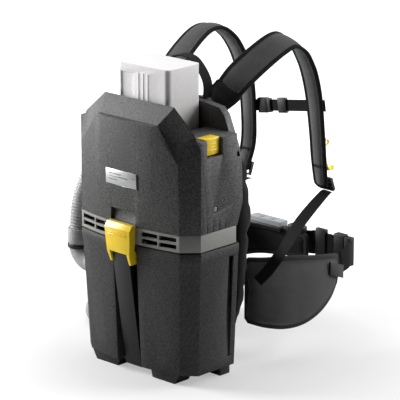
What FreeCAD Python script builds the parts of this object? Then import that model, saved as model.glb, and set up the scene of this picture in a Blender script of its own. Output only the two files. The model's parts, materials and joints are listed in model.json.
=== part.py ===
"""Backpack vacuum cleaner: a machine on its back frame and harness, standing on a latched dust container.

Millimetres. +X is the wearer's right as seen from the front cover, +Y points to the wearer, +Z is up.
The origin lies on the floor under the middle of the machine with its harness.
"""
import FreeCAD, Part
import math
import os
import re

import Sketcher
from FreeCAD import Placement, Rotation, Vector

document = FreeCAD.newDocument("backpack_vacuum")
sheet = document.addObject("Spreadsheet::Sheet", "Sizes")

# alias, millimetres, what it is
CELLS = (
    ("plan_shift", -140, "moves the plan so that the middle of the whole depth is at y = 0"),
    ("half_width", 157, "half the width of the machine"),
    ("front_corner", 129, "half the width of the front face, between its chamfers"),
    ("corner_y", -96, "front corners of the front face"),
    ("bow_y", -112, "foremost point of the bowed front face"),
    ("seam_y", -68, "rear edge of the chamfers, where the front cover ends"),
    ("rear_y", 45, "back of the upper housing"),
    ("tub_rear_y", 35, "back of the dust container"),
    ("wall", 4, "wall of the mouldings"),
    ("casing_low", 298, "lower edge of the casing, above the vent band"),
    ("shoulder_z", 457, "top of the upright sides of the front cover"),
    ("cheek_x", 141, "front cover outline"),
    ("cheek_z", 485, "front cover outline"),
    ("crown_x", 90, "half the top edge of the front cover"),
    ("crown_z", 529, "top edge of the front cover"),
    ("face_shoulder_x", 127, "front face outline"),
    ("face_shoulder_z", 431, "front face outline"),
    ("face_cheek_x", 111, "front face outline"),
    ("face_cheek_z", 450, "front face outline"),
    ("face_crown_x", 73.5, "front face outline"),
    ("face_crown_z", 497, "crease at the top of the front face"),
    ("saddle_z", 474, "top of the sides between the front cover and the rear wall"),
    ("sill_z", 458, "floor round the battery"),
    ("wall_front_y", 29, "front of the high rear wall"),
    ("band_low", 265, "lower edge of the vent band"),
    ("band_high", 297.5, "upper edge of the vent band"),
    ("rim_z", 262, "upper edge of the dust container"),
    ("collar_z", 245, "lower edge of the container's collar"),
    ("tub_low", 20, "underside of the dust container"),
    ("tub_draft", 12, "how far the container's sides come in at the bottom"),
    ("groove_half", 31, "half the width of the groove for the latch arm"),
    ("battery_half", 66, "half the width of the battery"),
    ("battery_front", -60, "front face of the battery"),
    ("battery_rear", 28, "rear face of the battery"),
    ("battery_low", 430, "underside of the battery"),
    ("battery_high", 592, "top of the battery"),
    ("bay_gap", 1, "clearance round the battery in its bay"),
    ("fan_y", -14, "axis of the fan, in plan"),
    ("fan_radius", 52, "outside of the fan housing"),
    ("shaft_radius", 4, "motor shaft"),
    ("running_gap", 0.03, "radial clearance of the shaft in its bearings"),
    ("pin_radius", 2, "latch and catch pins"),
    ("pin_gap", 0.05, "radial clearance of a lever on its pin"),
    ("arm_half", 21, "half the width of the latch arm"),
    ("hook_half", 33, "half the width of the latch hook"),
    ("hose_radius", 20, "outside of the suction hose"),
    ("strap_thick", 12, "shoulder strap"),
    ("web_thick", 2, "harness webbing"),
    ("hip_thick", 14, "hip pad"),
)
size = {}
for row, (alias, millimetres, meaning) in enumerate(CELLS, start=1):
    sheet.set(f"A{row}", meaning)
    sheet.set(f"B{row}", str(millimetres))
    sheet.setAlias(f"B{row}", alias)
    size[alias] = float(millimetres)
document.recompute()

NODES = []
SHIFT = Vector(0, size["plan_shift"], 0)


def number(text):
    """Value of a sum of products of sheet names and plain numbers."""
    total = 0.0
    for sign, term in re.findall(r"([+-]?)([^+-]+)", str(text).replace(" ", "")):
        product = -1.0 if sign == "-" else 1.0
        for factor in term.split("*"):
            product *= size[factor] if factor in size else float(factor)
        total += product
    return total


def bind(text):
    """The same sum as an expression on the sheet's cells."""
    return re.sub(r"[a-z_]+", lambda word: "Sizes." + word.group(0), str(text))


def drive(thing, prop, text):
    """Bind a property to a sum of cells."""
    if re.search("[a-z]", str(text)):
        thing.setExpression(prop, bind(text))


def keep(thing, label):
    """Name a finished sub-part."""
    thing.Label = label
    NODES.append(thing)
    return thing


# ---------------------------------------------------------------- building blocks
def draw(sketch, outline):
    """Closed outline of (across, up) corners; ("arc", across, up) is a point an arc passes between two corners."""
    corners = [item for item in outline if item[0] != "arc"]
    through = {}
    count = 0
    for item in outline:
        if item[0] == "arc":
            through[count - 1] = item[1:]
        else:
            count += 1
    places = [Vector(number(across), number(up), 0) for across, up in corners]
    ends = []
    for index, start in enumerate(places):
        finish = places[(index + 1) % count]
        if index in through:
            middle = Vector(number(through[index][0]), number(through[index][1]), 0)
            curve = Part.Arc(start, middle, finish)
            edge = sketch.addGeometry(curve, False)
            first = sketch.Geometry[edge].StartPoint
            forward = first.distanceToPoint(start) < first.distanceToPoint(finish)
            ends.append((edge, 1, 2) if forward else (edge, 2, 1))
            point = sketch.addGeometry(Part.Point(middle), True)
            fix_point(sketch, point, 1, through[index])
            sketch.addConstraint(Sketcher.Constraint("PointOnObject", point, 1, edge))
        else:
            edge = sketch.addGeometry(Part.LineSegment(start, finish), False)
            ends.append((edge, 1, 2))
    for index, (edge, start, finish) in enumerate(ends):
        after, after_start, _ = ends[(index + 1) % count]
        sketch.addConstraint(Sketcher.Constraint("Coincident", edge, finish, after, after_start))
        fix_point(sketch, edge, start, corners[index])


def fix_point(sketch, edge, end, place):
    """Hold a point at its across and up distances from the sketch's origin."""
    for kind, text in zip(("DistanceX", "DistanceY"), place):
        index = sketch.addConstraint(Sketcher.Constraint(kind, -1, 1, edge, end, number(text)))
        drive(sketch, f"Constraints[{index}]", text)


PLANES = {
    # plane: (origin plane's role, side the pad grows to)
    "XY": ("XY_Plane", 1),
    "XZ": ("XZ_Plane", -1),
    "YZ": ("YZ_Plane", 1),
}


def prism(label, plane, outline, start, end, node=False):
    """PartDesign body: an outline in XY, XZ or YZ, padded from start to end along the third axis."""
    role, side = PLANES[plane]
    body = document.addObject("PartDesign::Body", label)
    sketch = body.newObject("Sketcher::SketchObject", label + "_outline")
    origin = [item for item in body.Origin.OriginFeatures if item.Role == role][0]
    sketch.AttachmentSupport = (origin, "")
    sketch.MapMode = "FlatFace"
    level = start if side > 0 else negate(end)
    sketch.AttachmentOffset = Placement(Vector(0, 0, number(level)), Rotation())
    drive(sketch, "AttachmentOffset.Base.z", level)
    draw(sketch, outline)
    pad = body.newObject("PartDesign::Pad", label + "_pad")
    pad.Profile = sketch
    pad.Length = number(end) - number(start)
    pad.setExpression("Length", f"({bind(end)}) - ({bind(start)})")
    sketch.Visibility = False
    if node:
        body.Placement = Placement(SHIFT, Rotation())
        drive(body, "Placement.Base.y", "plan_shift")
        keep(body, label)
    return body


def negate(text):
    """The sum with every sign turned."""
    turned = re.sub("[+-]", lambda sign: "-" if sign.group(0) == "+" else "+", str(text).replace(" ", ""))
    return turned[1:] if turned.startswith("+") else "-" + turned


def box(label, low, high, node=False):
    """Part box between two corners."""
    solid = document.addObject("Part::Box", label)
    for side, base, near, far in zip(("Length", "Width", "Height"), "xyz", low, high):
        setattr(solid, side, number(far) - number(near))
        solid.setExpression(side, f"({bind(far)}) - ({bind(near)})")
        place = f"{near} + plan_shift" if node and base == "y" else str(near)
        setattr(solid.Placement.Base, base, number(place))
        solid.setExpression("Placement.Base." + base, bind(place))
    if node:
        keep(solid, label)
    return solid


TURNS = {
    "X": Rotation(Vector(0, 1, 0), 90),
    "Y": Rotation(Vector(1, 0, 0), -90),
    "Z": Rotation(),
}


def rod(label, foot, radius, length, axis="Z", node=False):
    """Part cylinder from the middle of its foot along an axis."""
    solid = document.addObject("Part::Cylinder", label)
    solid.Radius = number(radius)
    drive(solid, "Radius", radius)
    solid.Height = number(length)
    drive(solid, "Height", length)
    across = f"{foot[1]} + plan_shift" if node else str(foot[1])
    base = Vector(number(foot[0]), number(across), number(foot[2]))
    solid.Placement = Placement(base, TURNS[axis])
    for name, text in zip("xyz", (foot[0], across, foot[2])):
        drive(solid, "Placement.Base." + name, text)
    if node:
        keep(solid, label)
    return solid


def fuse(label, *solids, node=False):
    """One sub-part from several solids."""
    whole = document.addObject("Part::MultiFuse", label)
    whole.Shapes = list(solids)
    return settle(whole, label, node)


def common(label, *solids, node=False):
    """What the solids share."""
    shared = document.addObject("Part::MultiCommon", label)
    shared.Shapes = list(solids)
    return settle(shared, label, node)


def cut(label, solid, *tools, node=False):
    """A solid less its tools."""
    rest = document.addObject("Part::Cut", label)
    rest.Base = solid
    rest.Tool = tools[0] if len(tools) == 1 else fuse(label + "_tools", *tools)
    return settle(rest, label, node)


def settle(result, label, node):
    if node:
        result.Placement = Placement(SHIFT, Rotation())
        drive(result, "Placement.Base.y", "plan_shift")
        keep(result, label)
    return result


def tube(label, foot, outer, inner, length, axis="Z", node=False):
    """A ring: one cylinder less another."""
    outside = rod(label + "_outside", foot, outer, length, axis)
    inside = rod(label + "_bore", foot, inner, length, axis)
    return cut(label, outside, inside, node=node)


def section(label, plane, outline, level):
    """A loose sketch at a level of the third axis."""
    sketch = document.addObject("Sketcher::SketchObject", label)
    if plane == "XY":
        sketch.Placement = Placement(Vector(0, 0, number(level)), Rotation())
        drive(sketch, "Placement.Base.z", level)
    else:
        sketch.Placement = Placement(Vector(0, number(level), 0), Rotation(Vector(1, 0, 0), 90))
        drive(sketch, "Placement.Base.y", level)
    draw(sketch, outline)
    return sketch


def loft(label, *sketches):
    """Straight-sided solid between two sketches with equal numbers of edges."""
    solid = document.addObject("Part::Loft", label)
    solid.Sections = list(sketches)
    solid.Solid = True
    solid.Ruled = True
    return solid


def feature(label, shape):
    """Sub-part whose shape is worked out here from the sheet."""
    thing = document.addObject("Part::Feature", label)
    thing.Shape = shape
    thing.Placement = Placement(SHIFT, Rotation()).multiply(shape.Placement)
    return keep(thing, label)


def mirrored(outline):
    """Whole outline from its right half, listed from the foot up."""
    left = [(negate(across), up) for across, up in reversed(outline)]
    return list(outline) + left


def ribbon(points, widths, width_ways, thick):
    """Solid of rectangular section along a line of points; each full width lies along its own width way."""
    wires = []
    last = len(points) - 1
    for index, point in enumerate(points):
        before = points[max(index - 1, 0)]
        after = points[min(index + 1, last)]
        along = (after - before).normalize()
        side = Vector(width_ways[index])
        side = (side - along * side.dot(along)).normalize()
        out = along.cross(side) * (thick / 2)
        half = side * (widths[index] / 2)
        corners = [point + half + out, point - half + out, point - half - out, point + half - out]
        wires.append(Part.makePolygon(corners + corners[:1]))
    return Part.makeLoft(wires, True, True)


# ---------------------------------------------------------------- casing
def casing_outline(inset):
    """Outline of the front cover at its seam, drawn in by an inset."""
    return mirrored([
        (f"half_width - {inset}", "casing_low"),
        (f"half_width - {inset}", "shoulder_z"),
        (f"cheek_x - {inset}", f"cheek_z - {inset}*0.6"),
        (f"crown_x - {inset}*0.5", f"crown_z - {inset}"),
    ])


def face_outline(inset):
    """Outline of the front face, drawn in by an inset."""
    return mirrored([
        (f"front_corner - {inset}", "casing_low"),
        (f"face_shoulder_x - {inset}", "face_shoulder_z"),
        (f"face_cheek_x - {inset}", f"face_cheek_z - {inset}*0.6"),
        (f"face_crown_x - {inset}*0.5", f"face_crown_z - {inset}"),
    ])


def bow(inset):
    """Plan of the bowed front, between the front corners."""
    return [
        (f"-front_corner + {inset}*3", f"corner_y + {inset}"),
        ("arc", "0", f"bow_y + {inset}"),
        (f"front_corner - {inset}*3", f"corner_y + {inset}"),
    ]


def front_cover():
    """Bevelled front shell, bowed, with a finger scoop above the latch."""
    seam = section("cover_seam", "XZ", casing_outline("0"), "seam_y")
    face = section("cover_face", "XZ", face_outline("0"), "corner_y")
    cap = common("cover_cap",
                 prism("cover_cap_face", "XZ", face_outline("0"), "bow_y - 5", "corner_y"),
                 prism("cover_cap_bow", "XY", bow("0"), "casing_low", "face_crown_z"))
    outside = fuse("cover_outside", loft("cover_bevels", seam, face), cap)
    scoop_back = box("cover_scoop_back", ("-38", "bow_y + 3", "casing_low"), ("34", "bow_y + 13", "330"))
    inner_seam = section("cover_inner_seam", "XZ", casing_outline("wall*2.4"), "seam_y - wall")
    inner_face = section("cover_inner_face", "XZ", face_outline("wall*1.2"), "corner_y + wall")
    hollow = loft("cover_hollow", inner_seam, inner_face)
    bow_hollow = prism("cover_bow_hollow", "XY", bow("wall"), "casing_low", "face_cheek_z")
    back = box("cover_back", ("-half_width + wall*2.4", "seam_y - wall - 1", "casing_low - 1"),
               ("half_width - wall*2.4", "seam_y + 1", "shoulder_z - wall"))
    scoop = prism("cover_scoop", "YZ",
                  [("bow_y - 4", "302"), ("bow_y + 5", "302"), ("bow_y + 9", "324"), ("bow_y - 4", "326")],
                  "-34", "30")
    shell = fuse("cover_shell", cut("cover_hollowed", outside, hollow, bow_hollow, back), scoop_back)
    cut("front_cover", shell, scoop, node=True)


def upper_housing():
    """Sides, high rear wall, battery bay and the seat of the release button."""
    plan = [("-half_width", "seam_y"), ("half_width", "seam_y"),
            ("half_width", "wall_front_y"), ("-half_width", "wall_front_y")]
    sides = prism("housing_sides", "XY", plan, "casing_low", "saddle_z")
    rear_outline = mirrored([("half_width", "casing_low"), ("half_width", "344"), ("154", "425"),
                             ("147", "448"), ("124", "502"), ("111", "515"), ("69", "520")])
    rear = prism("housing_rear", "XZ", rear_outline, "wall_front_y", "rear_y")
    hollow = box("housing_hollow", ("-half_width + wall", "seam_y - 1", "casing_low - 1"),
                 ("half_width - wall", "rear_y - wall", "437"))
    roof_hollow = box("housing_roof_hollow", ("-half_width + wall", "seam_y - 1", "436"),
                      ("120", "wall_front_y - wall", "sill_z - wall"))
    lever_room = box("housing_lever_room", ("78", "-60", "453"), ("120", "20", "468"))
    well = box("bay_outside", ("-battery_half - 5", "battery_front - 5", "battery_low - wall"),
               ("battery_half + 5", "wall_front_y + 1", "sill_z"))
    shell = fuse("housing_shell",
                 cut("housing_hollowed", fuse("housing_outside", sides, rear), hollow, roof_hollow, lever_room),
                 well,
                 box("catch_ear_front", ("84", "-42", "434"), ("94", "-38", "455")),
                 box("catch_ear_rear", ("84", "-24", "434"), ("94", "-20", "455")))
    trough = box("saddle_trough", ("-80", "seam_y - 1", "sill_z"), ("80", "wall_front_y", "saddle_z + 1"))
    bay = box("bay_inside", ("-battery_half - bay_gap", "battery_front - bay_gap", "battery_low"),
              ("battery_half + bay_gap", "battery_rear + bay_gap", "sill_z + 1"))
    seat = box("button_seat", ("123.5", "-52", "441"), ("half_width + 1", "-10", "saddle_z + 1"))
    stem_slot = box("button_stem_slot", ("118", "-37", "454"), ("128", "-25", "464"))
    tooth_slot = box("catch_slot", ("62", "-37", "424"), ("72", "-25", "441"))
    pin_bore = rod("catch_pin_bore", ("89", "-43", "442"), "pin_radius", "24", "Y")
    heel = prism("housing_heel", "YZ", [("30", "297"), ("46", "297"), ("46", "344")], "-160", "160")
    window = box("side_window", ("half_width - 5", "-35", "334"), ("half_width + 1", "-23", "346"))
    slits = [box(f"rim_slit_{place}", ("half_width - 2", f"{place}", "casing_low - 1"),
                 ("half_width + 1", f"{place} + 1.6", "312")) for place in (-52, -36, -20, -4)]
    cut("upper_housing", shell, trough, bay, seat, stem_slot, tooth_slot, pin_bore, heel, window, *slits,
        node=True)


def ring_plan(inset, rear):
    """Plan of the machine: bowed front, chamfers and straight sides."""
    return [
        (f"-front_corner + {inset}*0.6", f"corner_y + {inset}"),
        ("arc", "0", f"bow_y + {inset}"),
        (f"front_corner - {inset}*0.6", f"corner_y + {inset}"),
        (f"half_width - {inset}", f"seam_y + {inset}*0.6"),
        (f"half_width - {inset}", f"{rear} - {inset}"),
        (f"-half_width + {inset}", f"{rear} - {inset}"),
        (f"-half_width + {inset}", f"seam_y + {inset}*0.6"),
    ]


def vent_band():
    """Light ring under the casing, with exhaust slots left and right of the latch."""
    outside = prism("band_outside", "XY", ring_plan("0.5", "28"), "band_low", "band_high")
    inside = prism("band_inside", "XY", ring_plan("5", "28"), "band_low - 1", "band_high + 1")
    slots = []
    for side in (-1, 1):
        for column, near in enumerate((44, 85)):
            for layer, low in enumerate((270.5, 283.5)):
                ends = sorted((side * near, side * (near + 37)))
                slots.append(box(f"slot_{side + 1}_{column}_{layer}", (ends[0], "bow_y - 2", low),
                                 (ends[1], "corner_y + 12", low + 8.5)))
    keeper = box("latch_keeper", ("-18", "bow_y - 2", "band_low - 1"), ("18", "bow_y + 8", "293"))
    cut("vent_band", outside, inside, keeper, *slots, node=True)


# ---------------------------------------------------------------- fan and electrics
def fan():
    """Motor deck, sprung seat, fan housing, bearings, stator and the turning parts."""
    deck = box("deck_plate", ("-half_width + wall + 0.5", "seam_y + 1", "casing_low"),
               ("half_width - wall - 0.5", "28", "302"))
    intake = rod("deck_intake", ("0", "fan_y", "297"), "28", "6")
    cut("motor_deck", deck, intake, node=True)
    tube("motor_seat", ("0", "fan_y", "302"), "fan_radius", "fan_radius - 9", "4", node=True)
    shell = rod("fan_shell", ("0", "fan_y", "306"), "fan_radius", "94")
    room = rod("fan_room", ("0", "fan_y", "309"), "fan_radius - 3", "88")
    eye = rod("fan_eye", ("0", "fan_y", "305"), "24", "6")
    windows = [box(f"fan_window_{turn}", ("-70", "-12 + fan_y", "348"), ("70", "12 + fan_y", "376"))
               if turn == 0 else
               box(f"fan_window_{turn}", ("-12", "-70 + fan_y", "348"), ("12", "70 + fan_y", "376"))
               for turn in (0, 1)]
    boss = tube("upper_boss", ("0", "fan_y", "388"), "14", "11", "10")
    fuse("fan_housing", cut("fan_shell_cut", shell, room, eye, *windows), boss, node=True)
    cut("motor_bracket",
        rod("bracket_disc", ("0", "fan_y", "338"), "fan_radius - 3", "4"),
        rod("bracket_bore", ("0", "fan_y", "337"), "11", "6"), node=True)
    for label, low in (("lower_bearing", "336"), ("upper_bearing", "389")):
        tube(label, ("0", "fan_y", low), "11", "shaft_radius + running_gap", "8", node=True)
    tube("motor_stator", ("0", "fan_y", "346"), "36", "22", "40", node=True)
    rod("motor_shaft", ("0", "fan_y", "312"), "shaft_radius", "84", node=True)
    tube("motor_rotor", ("0", "fan_y", "350"), "20.5", "shaft_radius", "32", node=True)
    impeller()
    board = box("board_plate", ("84", "-50", "304"), ("146", "20", "306"))
    choke = rod("board_choke", ("104", "-30", "306"), "9", "16")
    chip = box("board_chip", ("120", "-14", "306"), ("140", "6", "312"))
    socket = box("board_socket", ("92", "0", "306"), ("110", "14", "316"))
    fuse("circuit_board", board, choke, chip, socket, node=True)
    frame_out = box("foam_outside", ("-130", "-80", "268"), ("130", "18", "294"))
    frame_in = box("foam_inside", ("-104", "-54", "267"), ("104", "0", "295"))
    cut("exhaust_foam", frame_out, frame_in, node=True)
    fuse("battery_terminal",
         box("terminal_block", ("-28", "-28", "battery_low"), ("28", "-8", "battery_low + 5")),
         *[box(f"terminal_blade_{place}", (place, "-24", "battery_low + 5"),
               (place + 2, "-12", "battery_low + 11")) for place in (-20, -7, 5, 18)], node=True)


def impeller():
    """Backing disc, hub, shroud ring and curved blades."""
    blade_count = 9
    disc = tube("impeller_disc", ("0", "fan_y", "328"), "45", "shaft_radius", "2")
    hub = tube("impeller_hub", ("0", "fan_y", "313"), "10", "shaft_radius", "15")
    shroud = tube("impeller_shroud", ("0", "fan_y", "313"), "45", "24", "2")
    blades = []
    for index in range(blade_count):
        blade = document.addObject("Part::Box", f"impeller_blade_{index}")
        blade.Length = 31
        blade.Width = 1.6
        blade.Height = 14
        turn = Rotation(Vector(0, 0, 1), 360 * index / blade_count)
        lean = turn.multiply(Rotation(Vector(0, 0, 1), 28))
        foot = Vector(0, size["fan_y"], 314.5) + turn.multVec(Vector(14, 0, 0))
        blade.Placement = Placement(foot, lean)
        blades.append(blade)
    fuse("impeller", disc, hub, shroud, *blades, node=True)


def battery():
    """Battery pack, its release button and the catch that holds it."""
    case = box("battery_case", ("-battery_half", "battery_front", "battery_low"),
               ("battery_half", "battery_rear", "battery_high"))
    rounded = document.addObject("Part::Fillet", "battery_rounded")
    rounded.Base = case
    document.recompute()
    upright = [index for index, edge in enumerate(case.Shape.Edges, start=1)
               if abs(edge.tangentAt(edge.FirstParameter).z) > 0.99]
    rounded.Edges = [(index, 10, 10) for index in upright]
    pocket = box("battery_contacts", ("-31", "-31", "battery_low - 1"), ("31", "-5", "battery_low + 13"))
    notch = box("battery_notch", ("battery_half - 4", "-37.5", "battery_low - 1"),
                ("battery_half + 1", "-24.5", "battery_low + 10"))
    panel = box("battery_panel", ("-57", "battery_front - 1", "500"), ("-24", "battery_front + 2.5", "574"))
    ribs = [box(f"battery_rib_{place}", (place, "battery_front - 0.8", "490"),
                (place + 3, "battery_front + 1", "576")) for place in (-12, 0, 12)]
    recess = box("battery_recess", ("30", "battery_front - 1", "470"), ("56", "battery_front + 2", "500"))
    fuse("battery_pack", cut("battery_cut", rounded, pocket, notch, panel, recess), *ribs, node=True)
    head = box("button_head", ("128", "-50", "443"), ("150", "-12", "475"))
    stem = box("button_stem", ("93", "-36", "456"), ("128", "-26", "462"))
    fuse("release_button", head, stem, node=True)
    lever = fuse("catch_blank",
                 box("catch_bar", ("86", "-35", "431"), ("92", "-27", "464")),
                 box("catch_tooth", ("63.2", "-35", "431"), ("86", "-27", "437")))
    cut("battery_catch", lever,
        rod("catch_bore", ("89", "-36", "442"), "pin_radius + pin_gap", "10", "Y"), node=True)
    rod("catch_pin", ("89", "-42", "442"), "pin_radius", "22", "Y", node=True)


# ---------------------------------------------------------------- container
def tub_plan(inset, draft):
    """Plan of the container at a level, drawn in by its wall and its draft."""
    return [
        (f"-front_corner + {draft} + {inset}*0.6", f"corner_y + {draft}*0.9 + {inset}"),
        ("arc", "0", f"bow_y + {draft} + {inset}"),
        (f"front_corner - {draft} - {inset}*0.6", f"corner_y + {draft}*0.9 + {inset}"),
        (f"half_width - {draft} - {inset}", f"seam_y + {draft}*0.5 + {inset}*0.6"),
        (f"half_width - {draft} - {inset}", f"tub_rear_y - {inset}"),
        (f"-half_width + {draft} + {inset}", f"tub_rear_y - {inset}"),
        (f"-half_width + {draft} + {inset}", f"seam_y + {draft}*0.5 + {inset}*0.6"),
    ]


def dust_container():
    """Tapered tub with a collar, a groove for the latch arm, side channels and four bevelled feet."""
    body = loft("tub_body", section("tub_bottom", "XY", tub_plan("0", "tub_draft"), "tub_low"),
                section("tub_top", "XY", tub_plan("0", "1.2"), "collar_z"))
    collar = prism("tub_collar", "XY", tub_plan("0", "0"), "collar_z", "rim_z")
    room = loft("tub_room", section("room_bottom", "XY", tub_plan("wall", "tub_draft"), "tub_low + 12"),
                section("room_top", "XY", tub_plan("wall", "0"), "rim_z + 1"))
    front_feet = [prism(f"front_foot_{side}", "XZ",
                        [(f"{side}*38", "tub_low + 10"), (f"{side}*46", "0"), (f"{side}*104", "0"),
                         (f"{side}*122", "tub_low + 10")] if side > 0 else
                        [("-38", "tub_low + 10"), ("-122", "tub_low + 10"), ("-104", "0"), ("-46", "0")],
                        "-84", "-46") for side in (-1, 1)]
    rear_feet = [box(f"rear_foot_{side}", (side * 115 - 20, "8", "0"),
                     (side * 115 + 20, "tub_rear_y - 1", "tub_low + 10")) for side in (-1, 1)]
    channel_wall = box("groove_wall", ("-groove_half - wall", "bow_y + 4", "tub_low"),
                       ("groove_half + wall", "-69", "rim_z"))
    shell = fuse("tub_shell", cut("tub_hollow", fuse("tub_outside", body, collar), room),
                 common("groove_lining", channel_wall, fuse("tub_outside_again", body, collar)),
                 *front_feet, *rear_feet)
    groove = prism("latch_groove", "YZ",
                   [("-140", "-1"), ("-73", "-1"), ("-73", "60"), ("-80", "rim_z + 1"), ("-140", "rim_z + 1")],
                   "-groove_half", "groove_half")
    channels = [box(f"side_channel_{side}", (side * 154 - 10, "9", "40"), (side * 154 + 10, "22", "collar_z - 4"))
                for side in (-1, 1)]
    channel_backs = [box(f"channel_back_{side}", (side * 141.5 - 3.5, "5", "40"),
                         (side * 141.5 + 3.5, "26", "collar_z")) for side in (-1, 1)]
    port = rod("inlet_bore", ("-165", "-34", "172"), "hose_radius - 3", "30", "X")
    cut("dust_container", fuse("tub_with_backs", shell, *channel_backs), groove, *channels, port, node=True)
    seal_out = prism("seal_outside", "XY", tub_plan("2", "0"), "rim_z", "rim_z + 2.6")
    seal_in = prism("seal_inside", "XY", tub_plan("9", "0"), "rim_z - 1", "rim_z + 4")
    seal_gap = box("seal_gap", ("-groove_half - 6", "-120", "rim_z - 1"), ("groove_half + 6", "-76", "rim_z + 4"))
    cut("container_seal", seal_out, seal_in, seal_gap, node=True)


def filters():
    """Filter basket that hangs in the container and the fleece bag under it."""
    basket = rod("basket_outside", ("0", "-18", "180"), "44", "71.5")
    flange = box("basket_flange", ("-140", "-62", "250"), ("140", "28", "253"))
    hollow = rod("basket_inside", ("0", "-18", "183"), "41", "72")
    windows = [box("basket_window_across", ("-60", "-30", "192"), ("60", "-6", "240")),
               box("basket_window_along", ("-12", "-80", "192"), ("12", "50", "240"))]
    cut("filter_basket", fuse("basket_solid", basket, flange), hollow, *windows, node=True)
    bag = box("bag_block", ("-118", "-60", "38"), ("126", "24", "170"))
    rounded = document.addObject("Part::Fillet", "bag_rounded")
    rounded.Base = bag
    document.recompute()
    rounded.Edges = [(index, 18, 18) for index in range(1, len(bag.Shape.Edges) + 1)]
    settle(rounded, "filter_bag", True)


def latch():
    """Arm hinged at the foot of the container and the yellow hook hinged at the arm's head."""
    head_y = "-108"
    foot_y = "-82"
    arm = prism("arm_blank", "YZ",
                [("-88", "14"), ("-76", "14"), ("-76", "30"), ("-98", "250"), ("-122", "250")],
                "-arm_half", "arm_half")
    cut("latch_arm", arm,
        rod("arm_head_bore", ("-arm_half - 1", head_y, "236"), "pin_radius", "2*arm_half + 2", "X"),
        rod("arm_foot_bore", ("-arm_half - 1", foot_y, "22"), "pin_radius + pin_gap", "2*arm_half + 2", "X"),
        node=True)
    rod("hook_pin", ("-27", head_y, "236"), "pin_radius", "54", "X", node=True)
    rod("arm_pin", ("-groove_half", foot_y, "22"), "pin_radius", "2*groove_half", "X", node=True)
    front = prism("hook_front", "XZ",
                  mirrored([("22", "246"), ("22", "224"), ("27", "224"), ("31", "262"), ("hook_half", "302")]),
                  "-134", "-103")
    side = prism("hook_side", "YZ",
                 [("-103", "224"), ("-103", "244"), ("-113.5", "252"), ("-113.5", "302"),
                  ("-122", "303"), ("-130", "292"), ("-127", "244"), ("-120", "224")], "-40", "40")
    channel = box("hook_channel", ("-arm_half - 1", "-123.5", "223"), ("arm_half + 1", "-102", "296"))
    nose = box("hook_nose", ("-15", "-124", "284"), ("15", "-106.5", "290"))
    bore = rod("hook_bore", ("-30", head_y, "236"), "pin_radius + pin_gap", "60", "X")
    hook = fuse("hook_blank", cut("hook_shell", common("hook_outside", front, side), channel), nose)
    cut("latch_hook", hook, bore, node=True)


# ---------------------------------------------------------------- suction hose
HOSE_ROUTE = [  # centre line from the elbow's mouth, over and down behind the machine to the floor
    (-196, -38, 215), (-196, -38, 285), (-187, -4, 355), (-188, 80, 410), (-197, 190, 430),
    (-207, 300, 392), (-214, 362, 310), (-216, 381, 212), (-215, 377.6, 120.9), (-232.9, 345.5, 57.2),
    (-263.8, 289.9, 20.5),
]
LOOP_CENTRE = Vector(-194.7, 167.3, 20.5)
LOOP_RADIUS = 120
LOOP_START = 150.9
LOOP_TURN = 250


def rounded_route(points, first_way=None):
    """Straight runs joined by tangent arcs as large as their runs allow; prints each radius."""
    edges = []
    start = points[0]
    for index in range(1, len(points) - 1):
        corner = points[index]
        back = points[index - 1] - corner
        ahead = points[index + 1] - corner
        half_turn = (math.pi - back.getAngle(ahead)) / 2
        reach = 0.45 * min(back.Length, ahead.Length)
        radius = reach / math.tan(half_turn)
        back.normalize()
        ahead.normalize()
        enter = corner + back * reach
        leave = corner + ahead * reach
        inward = (back + ahead).normalize()
        middle = corner + inward * (radius / math.cos(half_turn) - radius)
        if (enter - start).Length > 0.01:
            edges.append(Part.LineSegment(start, enter).toShape())
        edges.append(Part.Arc(enter, middle, leave).toShape())
        print(f"hose corner {index}: radius {radius:.0f} mm, turn {math.degrees(2 * half_turn):.0f} degrees")
        start = leave
    edges.append(Part.LineSegment(start, points[-1]).toShape())
    return Part.Wire(edges)


def swept(wire, radius):
    """Round tube along a wire."""
    start = wire.Edges[0]
    foot = start.valueAt(start.FirstParameter)
    way = start.tangentAt(start.FirstParameter)
    ring = Part.Wire(Part.makeCircle(radius, foot, way))
    return wire.makePipeShell([ring], True, True, 2)


def on_loop(angle, radius=LOOP_RADIUS):
    turn = math.radians(angle)
    return LOOP_CENTRE + Vector(math.cos(turn), math.sin(turn), 0) * radius


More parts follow.
